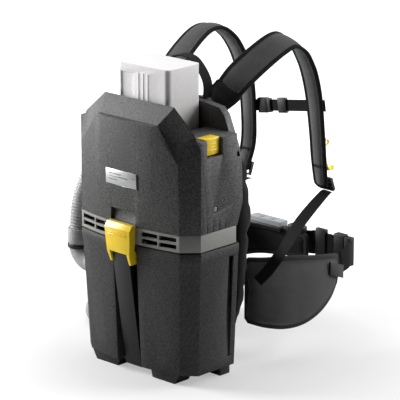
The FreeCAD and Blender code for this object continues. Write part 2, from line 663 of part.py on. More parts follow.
def hose():
    """Elbow on the container, hose, its laid-up loop and the cuff at its end."""
    radius = size["hose_radius"]
    bend = 34
    port = Vector(-148, -34, 172)
    corner = Vector(-196, -38, 172)
    points = [port, corner, Vector(-196, -38, 215)]
    elbow_line = rounded_elbow(points, bend)
    outer = swept(elbow_line, radius + 2)
    inner = swept(elbow_line, radius - 3)
    collar = Part.makeCylinder(radius + 4, 8, Vector(-157.5, -34, 172), Vector(-1, 0, 0))
    collar = collar.cut(Part.makeCylinder(radius, 12, Vector(-155, -34, 172), Vector(-1, 0, 0)))
    block = Part.makeBox(30, 80, 80, Vector(-156.2, -80, 130))
    feature("inlet_elbow", outer.cut(inner).fuse(collar).cut(block).removeSplitter())
    route = [Vector(*point) for point in HOSE_ROUTE] + [on_loop(LOOP_START)]
    wire = rounded_route(route)
    pipe = swept(wire, radius)
    plain = math.pi * radius ** 2 * wire.Length
    print(f"hose tube {wire.Length:.0f} mm, volume ratio {pipe.Volume / plain:.4f}")
    feature("hose_tube", pipe)
    loop = Part.makeTorus(LOOP_RADIUS, radius, LOOP_CENTRE, Vector(0, 0, 1), -180, 180, LOOP_TURN)
    loop.rotate(LOOP_CENTRE, Vector(0, 0, 1), LOOP_START)
    feature("hose_loop", loop)
    print(f"hose loop {math.radians(LOOP_TURN) * LOOP_RADIUS:.0f} mm")
    end = on_loop(LOOP_START + LOOP_TURN)
    turn = math.radians(LOOP_START + LOOP_TURN)
    way = Vector(-math.sin(turn), math.cos(turn), 0)
    root = Part.makeCylinder(radius, 19.7, end, way)
    sleeve = Part.makeCylinder(radius, 14, end + way * 20, way)
    nose = Part.makeCone(radius - 1, radius - 4, 42, end + way * 34, way)
    bore = Part.makeCylinder(radius - 6, 60, end + way * 18, way)
    feature("hose_cuff", Part.makeCompound([root, sleeve.fuse(nose).cut(bore)]))


def rounded_elbow(points, radius):
    """Two runs joined by one arc of a given radius."""
    port, corner, mouth = points
    back = (port - corner).normalize()
    ahead = (mouth - corner).normalize()
    half_turn = (math.pi - back.getAngle(ahead)) / 2
    reach = radius * math.tan(half_turn)
    inward = (back + ahead).normalize()
    middle = corner + inward * (radius / math.cos(half_turn) - radius)
    enter = corner + back * reach
    leave = corner + ahead * reach
    return Part.Wire([Part.LineSegment(port, enter).toShape(), Part.Arc(enter, middle, leave).toShape(),
                      Part.LineSegment(leave, mouth).toShape()])


# ---------------------------------------------------------------- back frame and harness
def back():
    """Plastic back frame, the padded back panel on it and the carry handle."""
    outline = mirrored([("100", "64"), ("120", "84"), ("128", "140"), ("128", "400"), ("104", "476"),
                        ("64", "522")])
    plate = prism("frame_plate", "XZ", outline, "46", "56")
    foot = box("frame_foot", ("-118", "38.5", "72"), ("118", "47", "285"))
    fuse("back_frame", plate, foot, node=True)
    profile = prism("pad_profile", "YZ",
                    [("56.4", "66"), ("66", "66"), ("82", "127"), ("92", "205"), ("103", "296"), ("91", "383"),
                     ("70", "470"), ("60", "478"), ("56.4", "478")], "-132", "132")
    width = prism("pad_outline", "XZ",
                  mirrored([("98", "66"), ("122", "84"), ("132", "140"), ("132", "398"), ("106", "470"),
                            ("80", "478")]), "50", "110")
    common("back_pad", profile, width, node=True)
    points = [Vector(x, y, z) for x, y, z in
              ((-58, 54, 522), (-58, 54, 552), (-42, 54, 578), (-12, 54, 592), (20, 54, 591), (44, 54, 572),
               (58, 54, 548), (58, 54, 522))]
    feature("carry_handle", ribbon(points, [16] * len(points), [(0, 1, 0)] * len(points), 4))


STRAP_LINE = [  # y, z, distance from the centre plane, width, and how far the right strap's outer edge hangs
    (63.5, 488, 57, 60, 0), (67, 504, 58, 60, 6), (90, 529, 74, 60, 24), (113, 555, 84, 61, 32),
    (154, 582, 92, 58, 42), (201, 604, 97, 55, 42), (237, 606, 95, 52, 25), (270, 585, 93, 48, 12),
    (290, 560, 91, 46, 7), (306, 530, 90, 45, 4), (322, 480, 88.5, 43, 0), (331, 408, 90, 40, 0),
]
STRAP_TIP = {1: [(337, 350, 90.5, 39, 0), (345, 292, 91, 34, 0)],
             -1: [(330, 352, 90.5, 39, 0), (310, 297, 91, 34, 0)]}


def straps(side, name):
    """One shoulder strap with its ladder lock and the webbing back to the frame."""
    line = STRAP_LINE + STRAP_TIP[side]
    points = [Vector(side * out, y, z) for y, z, out, _, _ in line]
    widths = [station[3] for station in line]
    hangs = [math.radians(station[4]) if side > 0 else 0.0 for station in line]
    ways = [(math.cos(hang), 0, -math.sin(hang)) for hang in hangs]
    feature(f"shoulder_strap_{name}", ribbon(points, widths, ways, size["strap_thick"]))
    tip_y, tip_z = line[-1][0], line[-1][1]
    lock = Part.makeBox(34, 7, 28, Vector(side * 92 - 17, tip_y + 11, tip_z - 7))
    for level in (tip_z - 3, tip_z + 7):
        lock = lock.cut(Part.makeBox(27, 9, 6, Vector(side * 92 - 13.5, tip_y + 10, level)))
    lock.rotate(Vector(0, tip_y + 14.5, tip_z + 7), Vector(1, 0, 0), side * 20)
    feature(f"ladder_lock_{name}", lock)
    web = [Vector(side * x, y + tip_y - 345, z) if y > 300 else Vector(side * x, y, z) for x, y, z in ADJUSTER]
    ways = [(side * x, y, z) for x, y, z in ADJUSTER_WAYS]
    feature(f"adjuster_webbing_{name}", ribbon(web, [22] * len(web), ways, size["web_thick"]))


ADJUSTER = [(92, 366, 281), (93, 349, 278), (112, 262, 246), (158, 160, 223), (151, 129, 189), (135, 112, 163)]
ADJUSTER_WAYS = [  # the webbing's width: level in the ladder lock, upright on the hip pad
    (1, 0, 0), (0.95, 0.25, -0.2), (0.59, 0.38, -0.42), (0.4, 0.1, -0.7), (0.1, -0.3, -0.9), (0, -0.35, -0.94),
]


CHEST_RISE = 9  # degrees


def chest():
    """Chest webbing from strap to strap with its side-release buckle and slider, rising to the right."""
    y, z, thick = 337.2, 445, size["web_thick"]

    def tilted(label, shape):
        turned = shape.copy()
        turned.rotate(Vector(0, y, z), Vector(0, -1, 0), CHEST_RISE)
        feature(label, turned)

    def web(label, start, end):
        tilted(label, Part.makeBox(end - start, thick, 23, Vector(start, y - thick / 2, z - 11.5)))

    web("chest_webbing_left", -112, -68)
    web("chest_webbing_right", -35.6, 106)
    socket = Part.makeBox(24, 9, 30, Vector(-68, y - 4.5, z - 15))
    tilted("chest_buckle_socket", socket.cut(Part.makeBox(18, 5, 22, Vector(-60, y - 2.5, z - 11))))
    tongue = Part.makeBox(8, 8, 28, Vector(-43.8, y - 4, z - 14))
    for level in (z - 10.6, z + 5.6):
        tongue = tongue.fuse(Part.makeBox(14, 4, 5, Vector(-57.8, y - 2, level)))
    tilted("chest_buckle_tongue", tongue.fuse(Part.makeBox(14, 3.4, 6, Vector(-57.8, y - 1.7, z - 3))))
    slider = Part.makeBox(22, 7, 30, Vector(-16, y - 3.5, z - 15))
    tilted("chest_slider", slider.cut(Part.makeBox(24, thick + 0.4, 23.4,
                                                   Vector(-17, y - thick / 2 - 0.2, z - 11.7))))


HIP_RIGHT = [  # x, y, low z, high z from the back frame to the tip
    (108, 104, 76, 208), (130, 128, 64, 206), (149, 168, 56, 204), (160, 215, 57, 198), (162, 260, 68, 190),
    (156, 300, 88, 182), (144, 334, 114, 172),
]
HIP_LEFT = HIP_RIGHT[:6] + [(140, 345, 100, 181), (104, 377, 108, 173),
                            (62, 388, 112, 172), (16, 391, 116, 170), (-18, 392, 118, 172)]
KEEPER = [(169, 283, 144, 170), (167, 306, 135, 161), (157, 336, 123, 150)]


def wall_solid(stations, side, thick):
    """Upright wall through stations of x, y, low z and high z."""
    points = [Vector(side * x, y, (low + high) / 2) for x, y, low, high in stations]
    wires = []
    for index, (_, _, low, high) in enumerate(stations):
        before = points[max(index - 1, 0)]
        after = points[min(index + 1, len(points) - 1)]
        along = Vector(after.x - before.x, after.y - before.y, 0).normalize()
        out = Vector(along.y, -along.x, 0) * (thick / 2)
        place = Vector(points[index].x, points[index].y, 0)
        corners = [place + out + Vector(0, 0, low), place - out + Vector(0, 0, low),
                   place - out + Vector(0, 0, high), place + out + Vector(0, 0, high)]
        wires.append(Part.makePolygon(corners + corners[:1]))
    return Part.makeLoft(wires, True, True)


def hips():
    """Hip pads, their webbing, the buckle, and the control unit on the left pad."""
    thick = size["hip_thick"]
    web = size["web_thick"] + 0.5
    feature("hip_pad_right", wall_solid(HIP_RIGHT, 1, thick))
    feature("hip_pad_left", wall_solid(HIP_LEFT, -1, thick))
    feature("hip_webbing_left", wall_solid([(-14, 406, 123, 171), (18, 406.5, 127, 176), (29, 403, 130, 180), (81.5, 402, 131, 181)],
                                           1, web))
    feature("hip_webbing_right", wall_solid([(141, 350, 126, 174), (138, 376, 130, 178), (126, 398, 131, 181)],
                                            1, web))
    feature("hip_adjuster", Part.makeBox(26, 9, 60, Vector(31, 398.5, 126)).cut(
        Part.makeBox(28, web + 0.7, 52.8, Vector(30, 401.1, 129))))
    socket = Part.makeBox(26, 15, 64, Vector(82, 395, 122)).cut(Part.makeBox(20, 9, 52, Vector(90, 398, 128)))
    feature("hip_buckle_socket", socket)
    tongue = Part.makeBox(16, 13, 58, Vector(108.3, 396, 125))
    for level in (129, 169):
        tongue = tongue.fuse(Part.makeBox(16, 7, 8, Vector(92.3, 399, level)))
    feature("hip_buckle_tongue", tongue.fuse(Part.makeBox(16, 5, 14, Vector(92.3, 400, 147))))
    keepers = [wall_solid(KEEPER, side, 4) for side in (-1, 1)]
    feature("webbing_keepers", Part.makeCompound(keepers))
    unit = Part.makeBox(84, 24, 10, Vector(-132, 380, 174.4))
    for across in (-108, -78):
        unit = unit.cut(Part.makeCylinder(6.2, 4, Vector(across, 392, 181)))
    feature("control_unit", unit)
    for label, across in (("power_button", -108), ("level_button", -78)):
        feature(label, Part.makeCylinder(6, 3.2, Vector(across, 392, 182.8)))


# ---------------------------------------------------------------- small parts
def trim():
    """Label plate, casing screws and the hose hook on the right strap."""
    plate = Part.makeBox(80, 2, 29, Vector(-45, -113.2, 371))
    feature("label_plate", plate.cut(bow_solid(1.0)))
    heads = []
    for x, z in ((-140, 352), (140, 352), (-140, 430), (140, 430)):
        head = Part.makeCylinder(4, 2.5, Vector(x, 45, z), Vector(0, 1, 0))
        heads.append(head.cut(Part.makeCylinder(1.6, 2, Vector(x, 46.5, z), Vector(0, 1, 0))))
    feature("casing_screws", Part.makeCompound(heads))
    line = [Vector(97, y, z) for y, z in ((345.2, 352), (351, 338), (357, 328), (366, 327), (371, 334))]
    feature("hose_hook", ribbon(line, [9] * len(line), [(1, 0, 0)] * len(line), 3.5))


def bow_solid(grow):
    """Solid of the bowed front, out to the face's surface plus a margin."""
    left = Vector(-size["front_corner"], size["corner_y"] - grow, 340)
    middle = Vector(0, size["bow_y"] - grow, 340)
    right = Vector(size["front_corner"], size["corner_y"] - grow, 340)
    face = Part.Face(Part.Wire([Part.Arc(left, middle, right).toShape(),
                                Part.LineSegment(right, left).toShape()]))
    return face.extrude(Vector(0, 0, 80))


front_cover()
upper_housing()
vent_band()
fan()
battery()
dust_container()
filters()
latch()
hose()
back()
for hand, word in ((-1, "left"), (1, "right")):
    straps(hand, word)
chest()
hips()
trim()
document.recompute()

faults = [thing.Label for thing in document.Objects if "Invalid" in thing.State or "Error" in thing.State]
for thing in NODES:
    if thing.Shape.isNull() or not thing.Shape.isValid() or not thing.Shape.Solids:
        faults.append(thing.Label + " shape")
if faults:
    raise SystemExit("failed: " + ", ".join(faults))

os.makedirs("parts", exist_ok=True)
for thing in NODES:
    thing.Shape.exportStep(f"parts/{thing.Label}.step")
print(len(NODES), "sub-parts written")
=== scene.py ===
"""Backpack vacuum cleaner: moulded casing, battery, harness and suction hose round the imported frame."""
import json
import math

import bmesh
import bpy
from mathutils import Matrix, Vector, noise

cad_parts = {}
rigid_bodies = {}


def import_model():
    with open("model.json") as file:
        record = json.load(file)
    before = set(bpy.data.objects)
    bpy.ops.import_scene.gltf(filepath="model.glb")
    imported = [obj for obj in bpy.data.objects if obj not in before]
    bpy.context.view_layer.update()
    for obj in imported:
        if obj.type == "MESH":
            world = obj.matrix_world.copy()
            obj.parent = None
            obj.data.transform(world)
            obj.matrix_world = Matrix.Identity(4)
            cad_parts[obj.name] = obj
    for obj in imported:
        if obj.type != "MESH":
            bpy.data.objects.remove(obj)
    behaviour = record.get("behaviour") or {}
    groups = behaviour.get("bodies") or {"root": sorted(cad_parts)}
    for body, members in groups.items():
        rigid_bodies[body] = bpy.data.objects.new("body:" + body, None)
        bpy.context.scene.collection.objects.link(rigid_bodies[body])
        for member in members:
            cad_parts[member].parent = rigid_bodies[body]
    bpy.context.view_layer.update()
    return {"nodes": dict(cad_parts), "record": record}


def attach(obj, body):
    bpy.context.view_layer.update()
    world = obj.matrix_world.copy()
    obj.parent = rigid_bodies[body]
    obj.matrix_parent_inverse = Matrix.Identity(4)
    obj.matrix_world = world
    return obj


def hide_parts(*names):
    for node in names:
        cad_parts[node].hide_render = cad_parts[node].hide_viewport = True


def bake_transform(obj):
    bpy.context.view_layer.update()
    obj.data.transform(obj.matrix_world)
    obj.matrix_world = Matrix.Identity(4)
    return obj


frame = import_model()

MM = 0.001
PLAN_SHIFT = -140  # the part's plan is drawn about its back frame, then moved so that its middle is at y = 0
BODY_OF = {part: body for body, parts in frame["record"]["behaviour"]["bodies"].items() for part in parts}
SLOT_OF = {entry["node"]: entry["material_slot"] for entry in frame["record"]["subparts"]}


# ---------------------------------------------------------------- materials
def linear(code):
    """sRGB hex to linear colour."""
    channels = [int(code[i:i + 2], 16) / 255 for i in (1, 3, 5)]
    return [c / 12.92 if c <= 0.04045 else ((c + 0.055) / 1.055) ** 2.4 for c in channels] + [1.0]


def add(tree, kind, inputs=None, **settings):
    """Adds a node; an input is a plain value or a (node, output) pair to link from."""
    made = tree.nodes.new(kind)
    for name, value in settings.items():
        setattr(made, name, value)
    for name, value in (inputs or {}).items():
        if isinstance(value, tuple) and hasattr(value[0], "outputs"):
            tree.links.new(value[0].outputs[value[1]], made.inputs[name])
        else:
            made.inputs[name].default_value = value
    return made


def begin(name):
    """Empty material with its output, its shader and its coordinates."""
    material = bpy.data.materials.new(name)
    material.use_nodes = True
    tree = material.node_tree
    tree.nodes.clear()
    shader = add(tree, "ShaderNodeBsdfPrincipled")
    add(tree, "ShaderNodeOutputMaterial", {"Surface": (shader, "BSDF")})
    return material, tree, shader, add(tree, "ShaderNodeTexCoord")


def ramp(tree, source, stops):
    """Colour ramp through (position, colour) stops."""
    made = add(tree, "ShaderNodeValToRGB", {"Fac": source})
    while len(made.color_ramp.elements) < len(stops):
        made.color_ramp.elements.new(0.5)
    for element, (position, colour) in zip(made.color_ramp.elements, stops):
        element.position = position
        element.color = colour
    return made


def moulded(name, dark, light, rough, grain_mm, relief, speck=0.55, coat=0.0, milky=0.0):
    """Spark-eroded moulding in plastic: a pebbled skin whose high spots are painted lighter, as painted
    glints on its small facets.
    """
    material, tree, shader, where = begin(name)
    grain_and_painted_glint = add(tree, "ShaderNodeTexNoise", {"Vector": (where, "Object"), "Scale": 1 / (grain_mm * MM),
                                             "Detail": 3.0, "Roughness": speck})
    cloud = add(tree, "ShaderNodeTexNoise", {"Vector": (where, "Object"), "Scale": 9.0, "Detail": 2.0})
    # the lighter colour on the grain's high spots is painted glint; the grain's bump and gloss are real
    tone = ramp(tree, (grain_and_painted_glint, "Fac"), [(0.38, linear(dark)), (0.64, linear(light))])
    drift = add(tree, "ShaderNodeMix", {0: 0.16}, data_type="RGBA", blend_type="SOFT_LIGHT")
    tree.links.new(tone.outputs["Color"], drift.inputs[6])
    tree.links.new(cloud.outputs["Fac"], drift.inputs[7])
    gloss = add(tree, "ShaderNodeMapRange", {"Value": (grain_and_painted_glint, "Fac"), "To Min": rough + 0.08,
                                             "To Max": rough - 0.08})
    bump = add(tree, "ShaderNodeBump", {"Height": (grain_and_painted_glint, "Fac"), "Strength": relief,
                                        "Distance": 0.25 * MM})
    tree.links.new(drift.outputs[2], shader.inputs["Base Color"])
    tree.links.new(gloss.outputs["Result"], shader.inputs["Roughness"])
    tree.links.new(bump.outputs["Normal"], shader.inputs["Normal"])
    shader.inputs["IOR"].default_value = 1.5
    shader.inputs["Coat Weight"].default_value = coat
    shader.inputs["Subsurface Weight"].default_value = milky
    shader.inputs["Subsurface Radius"].default_value = (1, 1, 1)
    shader.inputs["Subsurface Scale"].default_value = 9 * MM
    return material


def woven(name, dark, light, thread_mm, rough, relief, sheen=0.12):
    """Plain weave on the piece's own cloth map: warp over weft in turn, coarser than real so it shows."""
    material, tree, shader, _ = begin(name)
    cloth = add(tree, "ShaderNodeUVMap", uv_map="cloth")
    step = 1 / (thread_mm * MM)
    warp = add(tree, "ShaderNodeTexWave", {"Vector": (cloth, "UV"), "Scale": step * 0.5},
               bands_direction="X")
    weft = add(tree, "ShaderNodeTexWave", {"Vector": (cloth, "UV"), "Scale": step * 0.5},
               bands_direction="Y")
    turn = add(tree, "ShaderNodeTexChecker", {"Vector": (cloth, "UV"), "Scale": step})
    weave = add(tree, "ShaderNodeMix", data_type="FLOAT")
    tree.links.new(turn.outputs["Fac"], weave.inputs[0])
    tree.links.new(warp.outputs["Fac"], weave.inputs[2])
    tree.links.new(weft.outputs["Fac"], weave.inputs[3])
    fuzz = add(tree, "ShaderNodeTexNoise", {"Vector": (cloth, "UV"), "Scale": 55.0, "Detail": 4.0})
    both = add(tree, "ShaderNodeMix", data_type="FLOAT")
    both.inputs[0].default_value = 0.35
    tree.links.new(weave.outputs[0], both.inputs[2])
    tree.links.new(fuzz.outputs["Fac"], both.inputs[3])
    tone = ramp(tree, (both, "Result"), [(0.25, linear(dark)), (0.8, linear(light))])
    bump = add(tree, "ShaderNodeBump", {"Height": (weave, "Result"), "Strength": relief,
                                        "Distance": 0.4 * MM})
    tree.links.new(tone.outputs["Color"], shader.inputs["Base Color"])
    tree.links.new(bump.outputs["Normal"], shader.inputs["Normal"])
    shader.inputs["Roughness"].default_value = rough
    shader.inputs["Sheen Weight"].default_value = sheen
    shader.inputs["Sheen Roughness"].default_value = 0.5
    shader.inputs["Specular IOR Level"].default_value = 0.2
    return material


def spacer_mesh(name, yarn, gap, cell_mm):
    """Knitted spacer mesh: small dark cells between pale yarns, soft and matt."""
    material, tree, shader, _ = begin(name)
    cloth = add(tree, "ShaderNodeUVMap", uv_map="cloth")
    cells = add(tree, "ShaderNodeTexVoronoi", {"Vector": (cloth, "UV"), "Scale": 1 / (cell_mm * MM),
                                               "Randomness": 0.25})
    cloud = add(tree, "ShaderNodeTexNoise", {"Vector": (cloth, "UV"), "Scale": 30.0, "Detail": 3.0})
    tone = ramp(tree, (cells, "Distance"), [(0.12, linear(gap)), (0.38, linear(yarn))])
    blend = add(tree, "ShaderNodeMix", data_type="RGBA", blend_type="MULTIPLY")
    blend.inputs[0].default_value = 0.35
    tree.links.new(tone.outputs["Color"], blend.inputs[6])
    tree.links.new(cloud.outputs["Color"], blend.inputs[7])
    bump = add(tree, "ShaderNodeBump", {"Height": (cells, "Distance"), "Strength": 0.5, "Distance": 0.5 * MM})
    tree.links.new(blend.outputs[2], shader.inputs["Base Color"])
    tree.links.new(bump.outputs["Normal"], shader.inputs["Normal"])
    shader.inputs["Roughness"].default_value = 0.9
    shader.inputs["Sheen Weight"].default_value = 0.1
    shader.inputs["Specular IOR Level"].default_value = 0.2
    return material


def metal(name, colour, rough, line_mm):
    """Worked metal with fine tool lines round it or along it."""
    material, tree, shader, where = begin(name)
    stretch = add(tree, "ShaderNodeMapping", {"Vector": (where, "Object"), "Scale": (0.04, 1.0, 1.0)})
    lines = add(tree, "ShaderNodeTexNoise", {"Vector": (stretch, "Vector"), "Scale": 1 / (line_mm * MM)})
    tone = ramp(tree, (lines, "Fac"), [(0.3, [c * 0.8 for c in linear(colour)[:3]] + [1]),
                                       (0.7, linear(colour))])
    gloss = add(tree, "ShaderNodeMapRange", {"Value": (lines, "Fac"), "To Min": rough - 0.06,
                                             "To Max": rough + 0.1})
    bump = add(tree, "ShaderNodeBump", {"Height": (lines, "Fac"), "Strength": 0.12, "Distance": 0.05 * MM})
    tree.links.new(tone.outputs["Color"], shader.inputs["Base Color"])
    tree.links.new(gloss.outputs["Result"], shader.inputs["Roughness"])
    tree.links.new(bump.outputs["Normal"], shader.inputs["Normal"])
    shader.inputs["Metallic"].default_value = 1.0
    return material


# in the moulded finishes below, the lighter colour is painted glint on the grain's high spots
FINISHES = {
    # glass-filled polypropylene; its grain is drawn coarser than real so it shows
    "casing_grey": moulded("grained_polypropylene_casing", "#121212", "#565655", 0.5, 3.0, 0.9, 0.8),
    # the same plastic from another mould, darker and finer
    "container_grey": moulded("grained_polypropylene_container", "#101010", "#434342", 0.52, 2.6, 0.8, 0.75),
    # light grey ABS, nearly smooth
    "band_grey": moulded("satin_abs_band", "#7f7f7b", "#969692", 0.42, 1.0, 0.25),
    # signal yellow ABS, polished mould
    "yellow": moulded("polished_yellow_abs", "#f0c80c", "#ffe12e", 0.28, 1.4, 0.12, coat=0.2),
    # black polyamide fittings
    "black_plastic": moulded("black_polyamide", "#060606", "#0f0f0f", 0.45, 0.9, 0.35),
    # pale polycarbonate battery case, fine satin
    "battery_case": moulded("satin_polycarbonate_battery", "#dad8d9", "#eceaeb", 0.33, 0.9, 0.15, coat=0.1,
                             milky=0.35),
    # soft polyethylene-copolymer hose
    "hose_grey": moulded("flexible_eva_hose", "#8f8f8f", "#b0b0b0", 0.45, 2.0, 0.2),
    "rubber": moulded("moulded_rubber", "#0e0e0e", "#1b1b1b", 0.75, 0.8, 0.4),
    "control_grey": moulded("satin_grey_abs_control", "#8f9395", "#a1a5a8", 0.4, 1.0, 0.2),
    "board": moulded("solder_resist_board", "#12482a", "#1f6b3c", 0.35, 3.0, 0.15),
    "steel": metal("turned_steel", "#b4b4b4", 0.28, 0.3),
    "label": metal("satin_anodised_aluminium", "#c9cbcc", 0.36, 0.35),
    "iron": metal("laminated_electrical_steel", "#53504d", 0.5, 0.5),
    # 600 denier nylon on foam
    "strap_fabric": woven("oxford_nylon", "#313131", "#585858", 1.1, 0.72, 0.6),
    "webbing": woven("polypropylene_webbing", "#050505", "#141414", 1.6, 0.7, 0.9, 0.0),
    "mesh_fabric": spacer_mesh("black_spacer_mesh", "#0f0f0f", "#030303", 3.0),
    "foam": moulded("open_cell_foam", "#141414", "#3a3a3a", 0.95, 1.2, 1.0),
    "fleece": moulded("filter_fleece", "#cfccc4", "#efece5", 0.95, 1.6, 0.8),
}
# black grosgrain tape round the straps
BINDING = woven("grosgrain_binding_tape", "#030303", "#0c0c0c", 1.3, 0.8, 0.6, 0.0)
# thin nylon gathered over the strap roots
SLEEVE = woven("black_nylon_sleeve", "#040404", "#0f0f0f", 1.1, 0.8, 0.6, 0.0)
# dark grey tape on the hip pads and strap tips
HEM = woven("woven_hem_tape", "#131313", "#2c2c2c", 1.3, 0.75, 0.6)
# knitted polyester mesh towards the wearer
LINING = spacer_mesh("grey_spacer_mesh", "#747474", "#3e3e3e", 2.4)
# unpolished ABS
INSERT = moulded("matt_grey_insert", "#757573", "#8a8a88", 0.5, 0.9, 0.2)


# ---------------------------------------------------------------- making pieces
def clear_selection():
    """Nothing stays selected, so the next operator acts on its own piece only."""
    if bpy.context.object and bpy.context.object.mode != "OBJECT":
        bpy.ops.object.mode_set(mode="OBJECT")
    for thing in bpy.context.view_layer.objects:
        thing.select_set(False)


def hold(piece):
    """The piece alone is active and selected."""
    clear_selection()
    bpy.context.view_layer.objects.active = piece
    piece.select_set(True)
    return piece


def apply_modifiers(piece):
    hold(piece)
    for modifier in list(piece.modifiers):
        bpy.ops.object.modifier_apply(modifier=modifier.name)


def smooth(piece, degrees=32):
    hold(piece)
    bpy.ops.object.shade_smooth_by_angle(angle=math.radians(degrees))


def round_edges(piece, width_mm, segments=2, limit=28):
    """Bevels the sharp edges as a mould does."""
    bevel = piece.modifiers.new("edge_radius", "BEVEL")
    bevel.width = width_mm * MM
    bevel.segments = segments
    bevel.limit_method = "ANGLE"
    bevel.angle_limit = math.radians(limit)
    bevel.miter_outer = "MITER_ARC"
    bevel.harden_normals = False
    apply_modifiers(piece)
    smooth(piece)


def dress(piece, body, finish):
    """Gives a piece its finish and its body."""
    piece.data.materials.clear()
    piece.data.materials.append(finish)
    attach(piece, body)
    return piece


def soften(part, width_mm, segments=2, limit=28, finish=None):
    """The CAD part with its sharp edges rounded; it stands for the part."""
    mesh = frame["nodes"][part].data.copy()
    mesh.materials.clear()
    shape = bmesh.new()
    shape.from_mesh(mesh)
    bmesh.ops.remove_doubles(shape, verts=shape.verts, dist=0.00001)
    bmesh.ops.dissolve_limit(shape, angle_limit=math.radians(1.0), verts=shape.verts, edges=shape.edges)
    shape.to_mesh(mesh)
    shape.free()
    piece = bpy.data.objects.new(part + "_moulded", mesh)
    bpy.context.collection.objects.link(piece)
    round_edges(piece, width_mm, segments, limit)
    dress(piece, BODY_OF[part], finish or FINISHES[SLOT_OF[part]])
    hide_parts(part)
    return piece


def block(name, low, high, round_mm, segments=2):
    """A small moulded block between two corners given in millimetres, with its edges rounded."""
    clear_selection()
    centre = [(a + b) / 2 * MM for a, b in zip(low, high)]
    bpy.ops.mesh.primitive_cube_add(size=1, location=centre)
    piece = bpy.context.object
    piece.name = name
    piece.scale = [(b - a) * MM for a, b in zip(low, high)]
    bpy.ops.object.transform_apply(location=True, rotation=True, scale=True)
    round_edges(piece, round_mm, segments)
    return piece


def ring(name, foot, way, outer_mm, inner_mm, height_mm, round_mm, sides=48):
    """A turned ring or collar standing on foot along way, in millimetres."""
    clear_selection()
    along = Vector(way).normalized()
    centre = (Vector(foot) + along * (height_mm / 2)) * MM
    bpy.ops.mesh.primitive_cylinder_add(vertices=sides, radius=outer_mm * MM, depth=height_mm * MM,
                                        location=centre, rotation=along.to_track_quat("Z", "Y").to_euler())
    piece = bpy.context.object
    piece.name = name
    bpy.ops.object.transform_apply(location=True, rotation=True, scale=True)
    bpy.ops.object.mode_set(mode="EDIT")
    shape = bmesh.from_edit_mesh(piece.data)
    for face in shape.faces:
        face.select_set(abs(face.normal.dot(along)) > 0.9)
    bmesh.update_edit_mesh(piece.data)
    bpy.ops.mesh.inset(thickness=(outer_mm - inner_mm) * MM, use_individual=True)
    bpy.ops.mesh.bridge_edge_loops()
    bpy.ops.object.mode_set(mode="OBJECT")
    round_edges(piece, round_mm)
    return piece


def polyline(points, per_span=8):
    """Smooth line through points, by Catmull-Rom spans."""
    points = [Vector(point) for point in points]
    line = []
    for index in range(len(points) - 1):
        a = points[max(index - 1, 0)]
        b, c = points[index], points[index + 1]
        d = points[min(index + 2, len(points) - 1)]
        for step in range(per_span):
            t = step / per_span
            line.append(0.5 * ((2 * b) + (c - a) * t + (2 * a - 5 * b + 4 * c - d) * t * t
                               + (3 * b - a - 3 * c + d) * t ** 3))
    return line + [points[-1]]


class Track:
    """A line with its lengths, that gives place, way, side and out at any distance along it."""

    def __init__(self, points, sides):
        self.line = points
        self.sides = sides if isinstance(sides, list) else [sides] * len(points)
        self.lengths = [0.0]
        for a, b in zip(points, points[1:]):
            self.lengths.append(self.lengths[-1] + (b - a).length)
        self.length = self.lengths[-1]

    def span(self, distance):
        """The span that a distance falls in, and the share of it that is passed."""
        distance = min(max(distance, 0.0), self.length)
        index = 0
        while index < len(self.line) - 2 and self.lengths[index + 1] < distance:
            index += 1
        return index, (distance - self.lengths[index]) / (self.lengths[index + 1] - self.lengths[index])

    def between(self, values, distance):
        """The value at a distance, from values that are given at the line's points."""
        index, share = self.span(distance)
        return values[index] * (1 - share) + values[index + 1] * share

    def at(self, distance):
        index, _ = self.span(distance)
        before = self.line[max(index - 1, 0)]
        after = self.line[min(index + 2, len(self.line) - 1)]
        way = (after - before).normalized()
        side = self.between(self.sides, distance)
        side = (side - way * side.dot(way)).normalized()
        return self.between(self.line, distance), way, side, side.cross(way)


